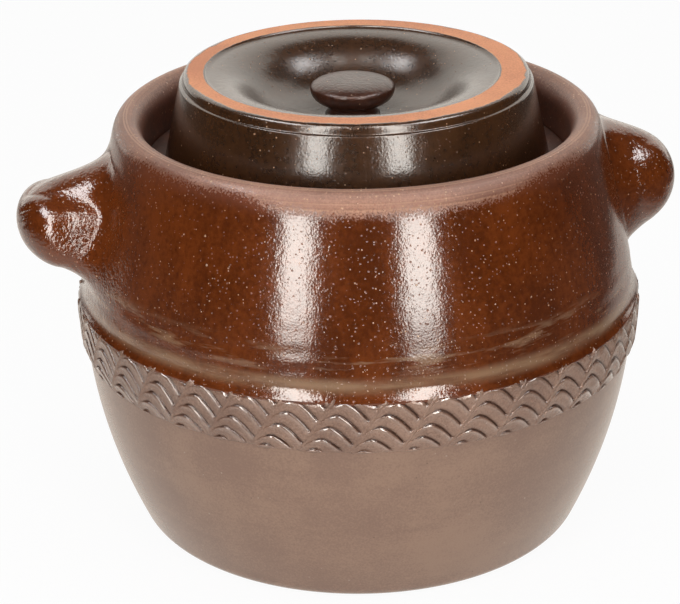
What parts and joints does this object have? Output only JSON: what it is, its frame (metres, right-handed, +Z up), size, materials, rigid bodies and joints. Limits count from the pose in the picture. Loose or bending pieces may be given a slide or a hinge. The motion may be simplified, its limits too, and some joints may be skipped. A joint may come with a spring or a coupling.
{
  "type": "fermentation crock",
  "caption": "Stoneware fermentation crock with a water channel round its mouth, a lift-off bell lid, side ears, a rolled braid band and loose half-round weights.",
  "frame": {"origin": "centre of the flat foot, on the surface that the crock stands on", "axes": "+Z up along the pot's axis, +X through the right ear, +Y away from the side that the picture shows"},
  "size_m": [0.2972, 0.2564, 0.2063],
  "materials": {
    "brown_glaze": "glossy salt-speckled brown glaze on stoneware",
    "channel_glaze": "glossy dark brown glaze on stoneware",
    "bare_stoneware": "bare grey-brown stoneware",
    "dark_glaze": "dark olive-brown satin glaze on stoneware",
    "raw_weight": "bare pale stoneware"
  },
  "bodies": {
    "crock": {"crock_body": "brown_glaze", "channel_ring": "channel_glaze", "braid_band": "bare_stoneware", "right_ear": "brown_glaze", "left_ear": "brown_glaze"},
    "lid": {"lid": "dark_glaze", "lid_knob": "dark_glaze"},
    "weight_right": {"weight_right": "raw_weight"},
    "weight_left": {"weight_left": "raw_weight"}
  },
  "joints": [
    {"name": "lid_lift", "type": "slide", "parent": "crock", "child": "lid", "axis": [0, 0, 1], "range_m": [0, 0.12]},
    {"name": "weight_right_lift", "type": "slide", "parent": "crock", "child": "weight_right", "axis": [0, 0, 1], "range_m": [0, 0.12]},
    {"name": "weight_left_lift", "type": "slide", "parent": "crock", "child": "weight_left", "axis": [0, 0, 1], "range_m": [0, 0.12]}
  ]
}
